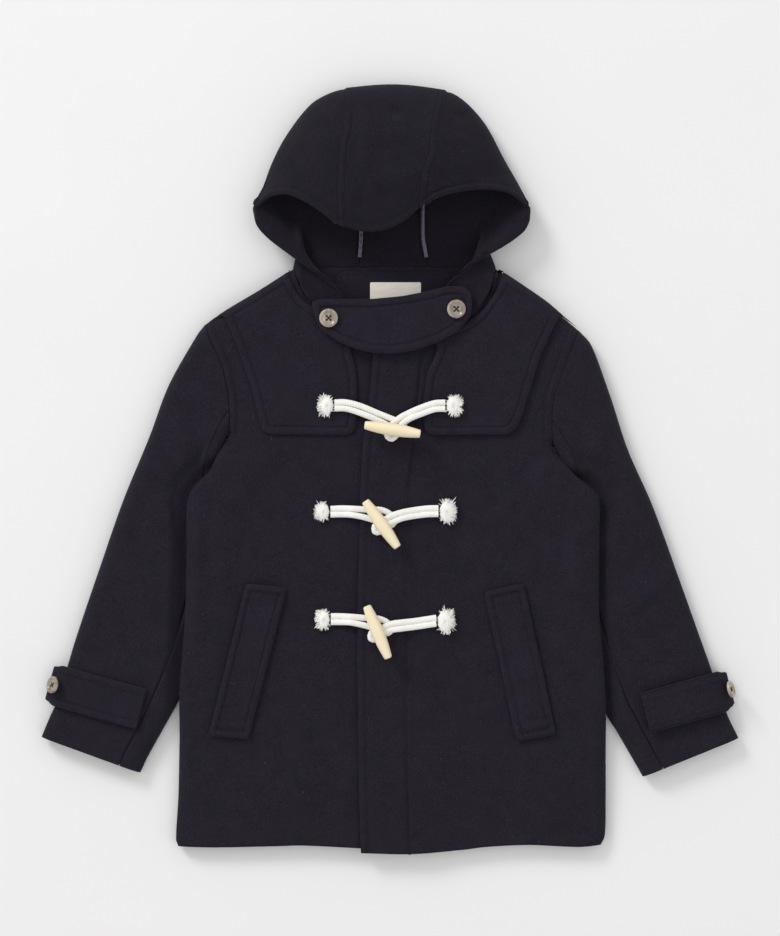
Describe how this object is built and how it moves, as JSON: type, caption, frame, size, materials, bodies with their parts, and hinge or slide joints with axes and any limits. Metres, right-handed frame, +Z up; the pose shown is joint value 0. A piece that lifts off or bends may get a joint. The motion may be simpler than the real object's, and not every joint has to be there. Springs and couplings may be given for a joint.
{
  "type": "duffle coat",
  "caption": "Child's hooded duffle coat in dark melton wool, laid flat, closed with wooden toggles in cord loops and a buttoned throat tab.",
  "frame": {"origin": "middle of the coat's box, on the surface that it lies on", "axes": "+X toward the wearer's left, +Y toward the hood, +Z up off the surface, out of the coat's front"},
  "size_m": [0.7328, 0.808, 0.0575],
  "materials": {
    "melton": "dense felted navy-black wool with a soft nap",
    "satin": "satin weave binding",
    "cord": "twisted white cord",
    "toggle_wood": "pale turned wood, matt varnish",
    "horn": "polished dark imitation horn",
    "label": "plain woven label, blank"
  },
  "bodies": {
    "root": {"back": "melton", "cord_end_bottom_left": "cord", "cord_end_bottom_right": "cord", "cord_end_middle_left": "cord", "cord_end_middle_right": "cord", "cord_end_top_left": "cord", "cord_end_top_right": "cord", "cuff_button_left": "horn", "cuff_button_right": "horn", "cuff_strap_left": "melton", "cuff_strap_right": "melton", "front_left": "melton", "front_right": "melton", "hood_centre": "melton", "hood_left": "melton", "hood_piping_left": "satin", "hood_piping_right": "satin", "hood_right": "melton", "neck_facing": "melton", "neck_label": "label", "pocket_welt_left": "melton", "pocket_welt_right": "melton", "sleeve_left_top": "melton", "sleeve_left_under": "melton", "sleeve_right_top": "melton", "sleeve_right_under": "melton", "throat_button_left": "horn", "throat_button_right": "horn", "throat_tab": "melton", "toggle_bottom": "toggle_wood", "toggle_cord_bottom_left": "cord", "toggle_cord_bottom_right": "cord", "toggle_cord_middle_left": "cord", "toggle_cord_middle_right": "cord", "toggle_cord_top_left": "cord", "toggle_cord_top_right": "cord", "toggle_middle": "toggle_wood", "toggle_top": "toggle_wood", "yoke_back": "melton", "yoke_left": "melton", "yoke_right": "melton"}
  },
  "joints": []
}
